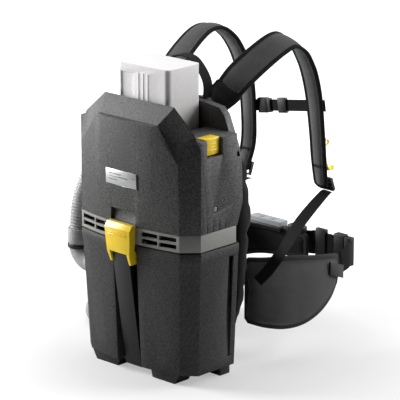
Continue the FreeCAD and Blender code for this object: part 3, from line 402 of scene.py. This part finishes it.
def sewn_pad(name, place, rim, spine, thick, bound, wrinkle, finishes=None):
    """A padded piece sewn round its rim: ringed from rim to spine on both faces, taped round its edge."""
    rings = [0.0, 0.6, 1.6, bound * 0.5, bound - 0.9, bound - 0.1, bound + 0.3]
    half_edge = thick * 0.2
    shape = bmesh.new()
    map_layer = shape.loops.layers.uv.new("cloth")
    flat = {}

    def height(distance, reach):
        if distance <= bound:
            curve = min(distance / 2.2, 1.0)
            return half_edge * math.sqrt(max(0.0, 1 - (1 - curve) ** 2)) + 0.9 * curve
        share = min((distance - bound) / max(reach - bound, 1.0), 1.0)
        rise = 1 - (1 - share) ** 2.4
        return half_edge + (thick / 2 - half_edge) * rise

    faces_of = {}
    for hand in (1, -1):
        rows = []
        for level in range(len(rings) + 7):
            row = []
            for index, (edge, centre) in enumerate(zip(rim, spine)):
                inward = centre - edge
                reach = max(inward.length, 0.01)
                if level < len(rings):
                    distance = min(rings[level], reach)
                else:
                    start = min(rings[-1], reach)
                    distance = start + (reach - start) * ((level - len(rings) + 1) / 7)
                spot = edge + inward * (distance / reach)
                lift = height(distance, reach) * hand
                lift += wrinkle(spot.x, spot.y, hand) * min(1.0, max(distance - bound, 0.0) / 6)
                vertex = shape.verts.new(place(spot.x, spot.y, lift))
                flat[vertex] = spot
                row.append(vertex)
            rows.append(row)
        faces_of[hand] = rows
    count = len(rim)
    for hand, rows in faces_of.items():
        for level in range(len(rows) - 1):
            for index in range(count):
                after = (index + 1) % count
                corners = [rows[level][index], rows[level][after], rows[level + 1][after],
                           rows[level + 1][index]]
                if hand < 0:
                    corners.reverse()
                face = shape.faces.new(corners)
                face.material_index = 0 if level < len(rings) - 2 else (1 if hand > 0 else 2)
                face.smooth = True
                for loop in face.loops:
                    loop[map_layer].uv = flat[loop.vert] * MM
    bmesh.ops.remove_doubles(shape, verts=shape.verts, dist=0.00005)
    bmesh.ops.recalc_face_normals(shape, faces=shape.faces)
    mesh = bpy.data.meshes.new(name)
    shape.to_mesh(mesh)
    shape.free()
    piece = bpy.data.objects.new(name, mesh)
    bpy.context.collection.objects.link(piece)
    for finish in finishes or (BINDING, FINISHES["strap_fabric"], LINING):
        mesh.materials.append(finish)
    return piece


def band(name, points, width, thick, side, finish=None, per_span=8):
    """Flat woven band along points in millimetres; side is its width way, or a list of one way per point."""
    ways = polyline(side, per_span) if isinstance(side, list) else Vector(side)
    track = Track(polyline(points, per_span), ways)
    half, rise = width / 2, thick / 2
    outline = [(-half, 0), (-half + rise * 0.7, rise), (half - rise * 0.7, rise), (half, 0),
               (half - rise * 0.7, -rise), (-half + rise * 0.7, -rise)]
    shape = bmesh.new()
    map_layer = shape.loops.layers.uv.new("cloth")
    steps = max(2, int(track.length / 4))
    rows = []
    for step in range(steps + 1):
        distance = track.length * step / steps
        spot, _, across, out = track.at(distance)
        rows.append([(shape.verts.new((spot + across * a + out * h) * MM), a, distance) for a, h in outline])
    for before, after in zip(rows, rows[1:]):
        for index in range(len(outline)):
            turn = (index + 1) % len(outline)
            corners = [before[index], before[turn], after[turn], after[index]]
            face = shape.faces.new([corner[0] for corner in corners])
            for loop, corner in zip(face.loops, corners):
                loop[map_layer].uv = (corner[1] * MM, corner[2] * MM)
    shape.faces.new([item[0] for item in reversed(rows[0])])
    shape.faces.new([item[0] for item in rows[-1]])
    bmesh.ops.recalc_face_normals(shape, faces=shape.faces)
    mesh = bpy.data.meshes.new(name)
    shape.to_mesh(mesh)
    shape.free()
    piece = bpy.data.objects.new(name, mesh)
    bpy.context.collection.objects.link(piece)
    mesh.materials.append(finish or FINISHES["webbing"])
    smooth(piece, 50)
    return piece


# ---------------------------------------------------------------- hard parts
soften("front_cover", 4.5, 4, 14)
soften("upper_housing", 1.4, 2, 24)
soften("vent_band", 0.8, 2, 24)
soften("dust_container", 1.6, 2, 12)
soften("battery_pack", 4.0, 4, 35)
soften("latch_arm", 1.2, 2, 20)
soften("latch_hook", 1.4, 3, 20)
soften("release_button", 1.2, 2, 24)
soften("back_frame", 2.0, 2, 24)
soften("label_plate", 0.5, 2, 40)
soften("control_unit", 2.0, 3, 30)
soften("inlet_elbow", 1.0, 2, 40, FINISHES["hose_grey"])
soften("hose_cuff", 1.0, 2, 40)
for part in ("battery_catch", "chest_buckle_socket", "chest_buckle_tongue", "chest_slider", "hip_adjuster",
             "hip_buckle_socket", "hip_buckle_tongue", "ladder_lock_left", "ladder_lock_right",
             "webbing_keepers", "hose_hook", "power_button", "level_button"):
    soften(part, 0.7 if part not in ("hip_buckle_socket", "hip_buckle_tongue") else 1.8, 2, 30)
for part, thing in frame["nodes"].items():
    for entry in thing.material_slots:
        entry.link = "OBJECT"
        entry.material = FINISHES[SLOT_OF[part]]


# ---------------------------------------------------------------- suction hose
HOSE_ROUTE = [  # the route of the part's hose, in millimetres before the plan shift
    (-196, -38, 215), (-196, -38, 285), (-187, -4, 355), (-188, 80, 410), (-197, 190, 430),
    (-207, 300, 392), (-214, 362, 310), (-216, 381, 212), (-215, 377.6, 120.9), (-232.9, 345.5, 57.2),
    (-263.8, 289.9, 20.5),
]
LOOP_CENTRE = Vector((-194.7, 167.3, 20.5))
LOOP_RADIUS = 120
LOOP_START = 150.9
LOOP_TURN = 250
HOSE_RADIUS = 20
PITCH = 6.0  # one corrugation


def on_loop(angle, radius=LOOP_RADIUS):
    turn = math.radians(angle)
    return LOOP_CENTRE + Vector((math.cos(turn), math.sin(turn), 0)) * radius


def hose():
    """Corrugated hose along the route's smooth curve and its loop on the floor."""
    half_step = 12.5
    controls = [Vector(point) for point in HOSE_ROUTE]
    steps = int(LOOP_TURN / (2 * half_step))
    reach = LOOP_RADIUS / math.cos(math.radians(half_step))
    controls += [on_loop(LOOP_START + half_step * (2 * index + 1), reach) for index in range(steps)]
    controls.append(on_loop(LOOP_START + LOOP_TURN))
    curve = bpy.data.curves.new("hose_line", "CURVE")
    curve.dimensions = "3D"
    curve.resolution_u = 24
    spline = curve.splines.new("NURBS")
    spline.points.add(len(controls) - 1)
    for point, control in zip(spline.points, controls):
        point.co = (control.x * MM, (control.y + PLAN_SHIFT) * MM, control.z * MM, 1)
    spline.order_u = 3
    spline.use_endpoint_u = True
    guide = bpy.data.objects.new("hose_line", curve)
    bpy.context.collection.objects.link(guide)
    bpy.context.view_layer.update()
    traced = bpy.data.meshes.new_from_object(guide)
    path = [vertex.co.copy() for vertex in traced.vertices]
    bpy.data.objects.remove(guide)
    track = Track([point / MM for point in path], Vector((0.31, 0.23, 0.92)))
    profile = [(0.0, -2.8), (0.24, -2.8), (0.34, -0.3), (0.44, 0.0), (0.78, 0.0), (0.9, -0.3)]
    sides = 20
    shape = bmesh.new()
    rows = []
    turns = int(track.length / PITCH)
    frame_side = None
    for turn in range(turns):
        for share, depth in profile:
            spot, way, side, _ = track.at((turn + share) * track.length / turns)
            if frame_side is None:
                frame_side = side
            frame_side = (frame_side - way * frame_side.dot(way)).normalized()
            other = way.cross(frame_side)
            radius = HOSE_RADIUS + depth
            turns_round = [math.tau * k / sides for k in range(sides)]
            rims = [frame_side * math.cos(a) + other * math.sin(a) for a in turns_round]
            rows.append([shape.verts.new((spot + rim * radius) * MM) for rim in rims])
    for before, after in zip(rows, rows[1:]):
        for index in range(sides):
            turn = (index + 1) % sides
            shape.faces.new((before[index], before[turn], after[turn], after[index])).smooth = True
    shape.faces.new(list(reversed(rows[0])))
    shape.faces.new(rows[-1])
    bmesh.ops.recalc_face_normals(shape, faces=shape.faces)
    mesh = bpy.data.meshes.new("suction_hose")
    shape.to_mesh(mesh)
    shape.free()
    piece = bpy.data.objects.new("suction_hose", mesh)
    bpy.context.collection.objects.link(piece)
    smooth(piece, 60)
    dress(piece, "container", FINISHES["hose_grey"])
    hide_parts("hose_tube", "hose_loop")
    sleeve = ring("hose_sleeve", (-196, -38 + PLAN_SHIFT, 206), (0, 0, 1), 23, 19.5, 30, 1.2)
    dress(sleeve, "container", FINISHES["hose_grey"])
    collar = ring("hose_swivel_ring", (-196, -38 + PLAN_SHIFT, 197), (0, 0, 1), 24, 20, 8, 1.0)
    dress(collar, "container", FINISHES["black_plastic"])
    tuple(path[0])
    print("hose length mm", round(track.length))


hose()


# ---------------------------------------------------------------- harness
STRAP_LINE = [  # y, z, distance from the centre plane, width, and how far the right strap's outer edge hangs
    (63.5, 488, 57, 60, 0), (67, 504, 58, 60, 6), (90, 529, 74, 60, 24), (113, 555, 84, 61, 32),
    (154, 582, 92, 58, 42), (201, 604, 97, 55, 42), (237, 606, 95, 52, 25), (270, 585, 93, 48, 12),
    (290, 560, 91, 46, 7), (306, 530, 90, 45, 4), (322, 480, 88.5, 43, 0), (331, 408, 90, 40, 0),
]
STRAP_TIP = {1: [(337, 350, 90.5, 39, 0), (345, 292, 91, 34, 0)],
             -1: [(330, 352, 90.5, 39, 0), (310, 297, 91, 34, 0)]}
ADJUSTER = [  # x, y, z of the webbing from the right ladder lock to the hip pad
    (92, 366, 281), (93, 349, 278), (112, 262, 246), (158, 160, 223), (151, 129, 189), (135, 112, 163),
]
LOCK_START_Y = 300  # webbing beyond this moves with the strap's tip
ADJUSTER_WAYS = [  # the webbing's width: level in the ladder lock, upright on the hip pad
    (1, 0, 0), (0.95, 0.25, -0.2), (0.59, 0.38, -0.42), (0.4, 0.1, -0.7), (0.1, -0.3, -0.9),
    (0, -0.35, -0.94),
]


def strip_rim(length, half, tip, root=0.0, step=6.0):
    """Rim and spine, in millimetres, of a strip with a round tip; half gives half its width at a length."""
    rim, spine = [], []
    start = root
    end = length - tip
    count = int((end - start) / step)
    inner = min(tip, 12.0)
    for index in range(count + 1):
        along = start + (end - start) * index / count
        rim.append(Vector((-half(along), along)))
        spine.append(Vector((0.0, max(along, start + inner))))
    for index in range(1, 12):
        turn = math.pi * index / 12
        rim.append(Vector((-math.cos(turn) * half(end), end + math.sin(turn) * tip)))
        spine.append(Vector((0.0, end)))
    for index in range(count, -1, -1):
        along = start + (end - start) * index / count
        rim.append(Vector((half(along), along)))
        spine.append(Vector((0.0, max(along, start + inner))))
    for index in range(1, 6):
        rim.append(Vector((half(start) * (1 - 2 * index / 6), start)))
        spine.append(Vector((0.0, start + inner)))
    return rim, spine


def on_track(track):
    """Maps across, along and height on a track to a point in the row frame, in metres."""
    def place(across, along, lift):
        spot, _, side, out = track.at(along)
        point = spot + side * across + out * lift
        return (point.x * MM, (point.y + PLAN_SHIFT) * MM, point.z * MM)
    return place


def across_track(place, along, lift, reach):
    """Three points in millimetres across a strap, for a band sewn over it."""
    return [Vector(place(across, along, lift)) / MM for across in (-reach, 0, reach)]


def shoulder_strap(side, word):
    """Padded strap: nylon outside, spacer mesh towards the wearer, tape round the edge and a sewn tip."""
    stations = STRAP_LINE + STRAP_TIP[side]
    line = polyline([(side * out, y, z) for y, z, out, _, _ in stations])
    widths = [step.x for step in polyline([(width, 0, 0) for _, _, _, width, _ in stations])]
    hangs = [math.radians(step.x) for step in polyline([(hang, 0, 0) for _, _, _, _, hang in stations])]
    if side < 0:
        hangs = [0.0] * len(hangs)
    track = Track(line, [Vector((math.cos(hang), 0, -math.sin(hang))) for hang in hangs])
    place = on_track(track)

    def half(along):
        return track.between(widths, along) / 2

    def crease(across, along, hand):
        if hand < 0:
            bend = math.exp(-((along - 260) / 120) ** 2)
            slant = along + 0.35 * across + 4 * noise.noise(Vector((across, along, side)) * 0.03)
            return 0.8 * bend * math.sin(slant / 3.6)
        return 0.4 * noise.noise(Vector((across * 0.4, along, side)) * 0.03)

    def gather(across, along, hand):
        folds = math.sin(along / 2.6 + 1.5 * noise.noise(Vector((across, along, side * 9)) * 0.05))
        return 0.9 * folds * noise.noise(Vector((across * 0.3, along * 0.2, hand)) * 0.2) + 0.5 * folds

    rim, spine = strip_rim(track.length, half, 15)
    strap = sewn_pad(f"padded_strap_{word}", place, rim, spine, 12, 7.5, crease)
    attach(strap, "machine")
    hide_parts(f"shoulder_strap_{word}")
    rim, spine = strip_rim(66, lambda along: half(along) + 2.5, 7, step=3.0)
    yoke = sewn_pad(f"strap_root_sleeve_{word}", place, rim, spine, 16, 4, gather, (SLEEVE, SLEEVE, SLEEVE))
    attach(yoke, "machine")
    for number, (along, lift) in enumerate(((track.length - 48, -5.6), (track.length - 40, 5.6))):
        points = across_track(place, along, lift, 8)
        tack = band(f"strap_tip_seam_{word}_{number}", points, 7, 1.6, (0, 0, 1), HEM)
        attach(tack, "machine")


for hand, word in ((-1, "left"), (1, "right")):
    shoulder_strap(hand, word)
    pull = STRAP_TIP[hand][-1][0] - STRAP_TIP[1][-1][0]  # the left tip stands further back than the right
    line = [(hand * x, y + PLAN_SHIFT + (pull if y > LOCK_START_Y else 0), z) for x, y, z in ADJUSTER]
    ways = [(hand * x, y, z) for x, y, z in ADJUSTER_WAYS]
    web = band(f"woven_adjuster_{word}", line, 22, 1.8, ways)
    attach(web, "machine")
    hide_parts(f"adjuster_webbing_{word}")

HIP_RIGHT = [  # x, y, low z, high z from the back frame to the tip
    (108, 104, 76, 208), (130, 128, 64, 206), (149, 168, 56, 204), (160, 215, 57, 198), (162, 260, 68, 190),
    (156, 300, 88, 182), (144, 334, 114, 172),
]
HIP_LEFT = HIP_RIGHT[:6] + [(140, 345, 100, 181), (104, 377, 108, 173),
                            (62, 388, 112, 172), (16, 391, 116, 170), (-18, 392, 118, 172)]


def hip_pad(stations, side, word):
    """Padded wing: nylon outside, black mesh inside, tape round the edge."""
    plan = polyline([(side * x, y, 0) for x, y, _, _ in stations])
    track = Track(plan, Vector((0, 0, 1)))
    lows = polyline([(low, high, 0) for _, _, low, high in stations])
    share = len(lows) - 1

    def limits(along):
        spot = min(max(along / track.length, 0), 1) * share
        index = min(int(spot), share - 1)
        pair = lows[index].lerp(lows[index + 1], spot - index)
        return pair.x, pair.y

    def place(across, along, lift):
        spot, _, _, out = track.at(along)
        point = spot - out * lift * side
        return (point.x * MM, (point.y + PLAN_SHIFT) * MM, across * MM)

    rim, spine = [], []
    count = int(track.length / 6)
    corner = 9.0
    for index in range(count + 1):
        along = track.length * index / count
        low, high = limits(along)
        near = min(along, track.length - along)
        lift = corner * (1 - math.sqrt(max(0.0, 1 - (1 - min(near / corner, 1)) ** 2)))
        rim.append(Vector((low + lift, along)))
        spine.append(Vector(((low + high) / 2, min(max(along, 25), track.length - 25))))
    low, high = limits(track.length)
    for index in range(1, 6):
        rim.append(Vector((low + corner + (high - low - 2 * corner) * index / 6, track.length)))
        spine.append(Vector(((low + high) / 2, track.length - 25)))
    for index in range(count, -1, -1):
        along = track.length * index / count
        low, high = limits(along)
        near = min(along, track.length - along)
        lift = corner * (1 - math.sqrt(max(0.0, 1 - (1 - min(near / corner, 1)) ** 2)))
        rim.append(Vector((high - lift, along)))
        spine.append(Vector(((low + high) / 2, min(max(along, 25), track.length - 25))))
    low, high = limits(0)
    for index in range(1, 6):
        rim.append(Vector((high - corner - (high - low - 2 * corner) * index / 6, 0)))
        spine.append(Vector(((low + high) / 2, 25)))

    def crease(across, along, hand):
        return 1.0 * noise.noise(Vector((across, along, side * 50)) * 0.022)

    pad = sewn_pad(f"padded_wing_{word}", place, rim, spine, 14, 9, crease,
                   (HEM, FINISHES["strap_fabric"], FINISHES["mesh_fabric"]))
    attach(pad, "machine")
    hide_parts(f"hip_pad_{word}")


hip_pad(HIP_RIGHT, 1, "right")
hip_pad(HIP_LEFT, -1, "left")


# ---------------------------------------------------------------- webbing and carry handle
def run_of(part, points, width, thick, side):
    """A woven band in place of the part of the same name."""
    web = band(f"woven_{part}", points, width, thick, side)
    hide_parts(part)
    return web


CHEST_RISE = math.radians(9)


def on_chest(across):
    return (across * math.cos(CHEST_RISE), 337.2 + PLAN_SHIFT, 445 + across * math.sin(CHEST_RISE))


chest_width = (-math.sin(CHEST_RISE), 0, math.cos(CHEST_RISE))
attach(run_of("chest_webbing_left", [on_chest(x) for x in (-112, -90, -68)], 23, 2, chest_width), "machine")
pulled = run_of("chest_webbing_right", [on_chest(x) for x in (-35.6, 0, 35, 70, 106)], 23, 2, chest_width)
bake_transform(pulled)
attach(run_of("hip_webbing_left", [(-14, 266, 147), (18, 266.5, 151.5), (29, 263, 155), (81.5, 262, 156)],
               48, 2.5, (0, 0, 1)), "machine")
pulled = run_of("hip_webbing_right", [(141, 210, 150), (138, 236, 154), (126, 258, 156)], 48, 2.5, (0, 0, 1))
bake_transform(pulled)
HANDLE_Y = 54
HANDLE_LINE = [(-58, 522), (-58, 552), (-42, 578), (-12, 592), (20, 591), (44, 572), (58, 548), (58, 522)]
handle = run_of("carry_handle", [(x, HANDLE_Y + PLAN_SHIFT, z) for x, z in HANDLE_LINE],
                24, 3.4, (0, 1, 0))
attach(handle, "machine")


# ---------------------------------------------------------------- back panel
PANEL_SEAMS = (-44, 44)  # upright seams, and the level ones below, in millimetres
PANEL_LEVELS = (158, 262, 366)
PANEL_CAP = 5 * MM  # how far cloth pressure may move the skin
SEAM_DEPTH = 5 * MM
SEAM_HALF_WIDTH = 5  # millimetres


def back_panel():
    """Foam panel under black spacer mesh: blown up by cloth pressure, then drawn in along its seams."""
    mesh = frame["nodes"]["back_pad"].data.copy()
    mesh.materials.clear()
    mesh.materials.append(FINISHES["mesh_fabric"])
    panel = bpy.data.objects.new("padded_back_panel", mesh)
    bpy.context.collection.objects.link(panel)
    even = panel.modifiers.new("even_mesh", "REMESH")
    even.mode = "VOXEL"
    even.voxel_size = 5 * MM
    relax = panel.modifiers.new("worn_edges", "SMOOTH")
    relax.iterations = 6
    apply_modifiers(panel)
    start = [vertex.co.copy() for vertex in mesh.vertices]
    sewn = panel.vertex_groups.new(name="sewn_to_frame")
    sewn.add([v.index for v in mesh.vertices if v.co.y < (60 + PLAN_SHIFT) * MM], 1.0, "REPLACE")
    foam = panel.modifiers.new("foam_pressure", "CLOTH")
    foam.settings.vertex_group_mass = sewn.name
    foam.settings.use_pressure = True
    foam.settings.uniform_pressure_force = 4
    foam.settings.effector_weights.gravity = 0
    for number in range(1, 21):
        bpy.context.scene.frame_set(number)
    apply_modifiers(panel)
    bpy.context.scene.frame_set(1)
    for vertex, home in zip(panel.data.vertices, start):
        move = vertex.co - home
        if move.length > PANEL_CAP:
            vertex.co = home + move.normalized() * PANEL_CAP
        gap = min([abs(home.x / MM - x) for x in PANEL_SEAMS] + [abs(home.z / MM - z) for z in PANEL_LEVELS])
        if vertex.normal.y > 0.3:
            vertex.co.y -= SEAM_DEPTH * math.exp(-(gap / SEAM_HALF_WIDTH) ** 2)
    finer = panel.modifiers.new("fine_skin", "SUBSURF")
    finer.levels = finer.render_levels = 1
    apply_modifiers(panel)
    smooth(panel, 60)
    cloth = panel.data.uv_layers.new(name="cloth")
    for face in panel.data.polygons:
        facing = [abs(part) for part in face.normal]
        first, second = ((1, 2), (0, 2), (0, 1))[facing.index(max(facing))]
        for corner in face.loop_indices:
            spot = panel.data.vertices[panel.data.loops[corner].vertex_index].co
            cloth.data[corner].uv = (spot[first], spot[second])
    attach(panel, "machine")
    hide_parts("back_pad")


back_panel()


# ---------------------------------------------------------------- small mouldings
def detail(name, low, high, round_mm, body, finish):
    return dress(block(name, low, high, round_mm), body, finish)


black = FINISHES["black_plastic"]
detail("control_cradle", (-134, 238, 164), (-46, 264, 174.2), 2.5, "machine", black)
detail("control_clip", (-34, 246, 168), (6, 264, 184), 3.0, "machine", black)
detail("side_insert", (152.5, -173.5, 335.5), (156.4, -164.5, 344.5), 0.8, BODY_OF["upper_housing"], INSERT)
for number, (left, right, level) in enumerate(((-37, -4, 391), (-37, 12, 385.5), (-37, -16, 380))):
    detail(f"label_bar_{number}", (left, -253.8, level), (right, -252.9, level + 1.8), 0.3,
           BODY_OF["label_plate"], INSERT)
for number, across in enumerate((21, 25, 29)):
    detail(f"label_dot_{number}", (across, -253.8, 389), (across + 2.2, -252.9, 391.2), 0.3,
           BODY_OF["label_plate"], INSERT)
for number, level in enumerate((451, 457, 463)):
    detail(f"button_ridge_{number}", (148.6, -184, level), (150.8, -158, level + 2.2), 0.9,
           BODY_OF["release_button"], FINISHES["yellow"])
for number, level in enumerate((279, 283, 287, 291)):
    detail(f"hook_rib_{number}", (-24, -270.8, level), (24, -269.2, level + 1.7), 0.7,
           BODY_OF["latch_hook"], FINISHES["yellow"])
loop = ring("strap_ring", (98.5, 207.5, 386), (1, 0, 0), 6.5, 4.2, 4, 0.8, 32)
dress(loop, "machine", FINISHES["yellow"])
detail("strap_ring_tab", (97, 196, 382), (104, 202.5, 397), 1.2, "machine", FINISHES["control_grey"])


# ---------------------------------------------------------------- light, floor and camera
def area(name, place, size, power, target=(0, 0, 0.3)):
    """Rectangular softbox, turned towards the object."""
    light = bpy.data.lights.new(name, "AREA")
    light.shape = "RECTANGLE"
    light.size, light.size_y = size
    light.energy = power
    lamp = bpy.data.objects.new(name, light)
    bpy.context.collection.objects.link(lamp)
    lamp.location = place
    lamp.rotation_euler = (Vector(target) - Vector(place)).to_track_quat("-Z", "Y").to_euler()


STUDIO_DARK_SIDE = (0.66, -0.7, 0.28)  # the unlit side of the room
area("softbox_left_front", (-2.3, -1.25, 1.3), (1.2, 2.0), 128)
area("softbox_right_rear", (1.75, 2.1, 1.4), (1.4, 2.0), 78)
area("softbox_top", (-0.3, 0.5, 2.6), (1.8, 1.8), 36)

clear_selection()
bpy.ops.mesh.primitive_plane_add(size=14, location=(0, 0, 0))
floor = bpy.context.object
floor.name = "studio_floor"
paper, paper_tree, paper_shader, paper_where = begin("white_paper_with_painted_glow")
paper_shader.inputs["Base Color"].default_value = (0.4, 0.4, 0.4, 1)
paper_shader.inputs["Roughness"].default_value = 0.95
paper_shader.inputs["Emission Color"].default_value = (1, 1, 1, 1)
# painted light and shade on the floor: it glows towards the camera only, dimmer near the object as painted
# shade and full white from about 1.1 m out
reach = add(paper_tree, "ShaderNodeVectorMath", {0: (paper_where, "Object")}, operation="LENGTH")
painted_floor_glow = add(paper_tree, "ShaderNodeMapRange", {"Value": (reach, "Value"), "From Min": 0.3, "From Max": 1.1,
                                               "To Min": 0.42, "To Max": 1.0})
seen_by = add(paper_tree, "ShaderNodeLightPath")
glow = add(paper_tree, "ShaderNodeMath", {0: (painted_floor_glow, "Result"), 1: (seen_by, "Is Camera Ray")},
           operation="MULTIPLY")
paper_tree.links.new(glow.outputs["Value"], paper_shader.inputs["Emission Strength"])
floor.data.materials.append(paper)

world = bpy.data.worlds.new("studio")
bpy.context.scene.world = world
world.use_nodes = True
sky = world.node_tree
sky.nodes.clear()
heading = add(sky, "ShaderNodeTexCoord")
facing = add(sky, "ShaderNodeVectorMath", operation="DOT_PRODUCT")
sky.links.new(heading.outputs["Generated"], facing.inputs[0])
facing.inputs[1].default_value = STUDIO_DARK_SIDE
room = ramp(sky, (facing, "Value"), [(0.0, (0.4, 0.4, 0.4, 1)), (0.35, (0.008, 0.008, 0.008, 1))])
lit = add(sky, "ShaderNodeBackground", {"Color": (room, "Color")})
backdrop = add(sky, "ShaderNodeBackground", {"Color": (1, 1, 1, 1), "Strength": 1.0})
seen = add(sky, "ShaderNodeLightPath")
both = add(sky, "ShaderNodeMixShader", {"Fac": (seen, "Is Camera Ray")})
sky.links.new(lit.outputs["Background"], both.inputs[1])
sky.links.new(backdrop.outputs["Background"], both.inputs[2])
add(sky, "ShaderNodeOutputWorld", {"Surface": (both, "Shader")})
bpy.context.scene.view_settings.view_transform = "Standard"

TARGET = Vector((0.0473, -0.0951, 0.3212))
EYE_WAY = Vector((0.6614, -0.6969, 0.2773))
EYE_DISTANCE = 4.74  # metres
eye = bpy.data.cameras.new("studio_camera")
eye.sensor_width = 36
eye.lens = 225.7
camera = bpy.data.objects.new("studio_camera", eye)
bpy.context.collection.objects.link(camera)
camera.location = TARGET + EYE_WAY * EYE_DISTANCE
camera.rotation_euler = (TARGET - camera.location).to_track_quat("-Z", "Y").to_euler()
bpy.context.scene.camera = camera
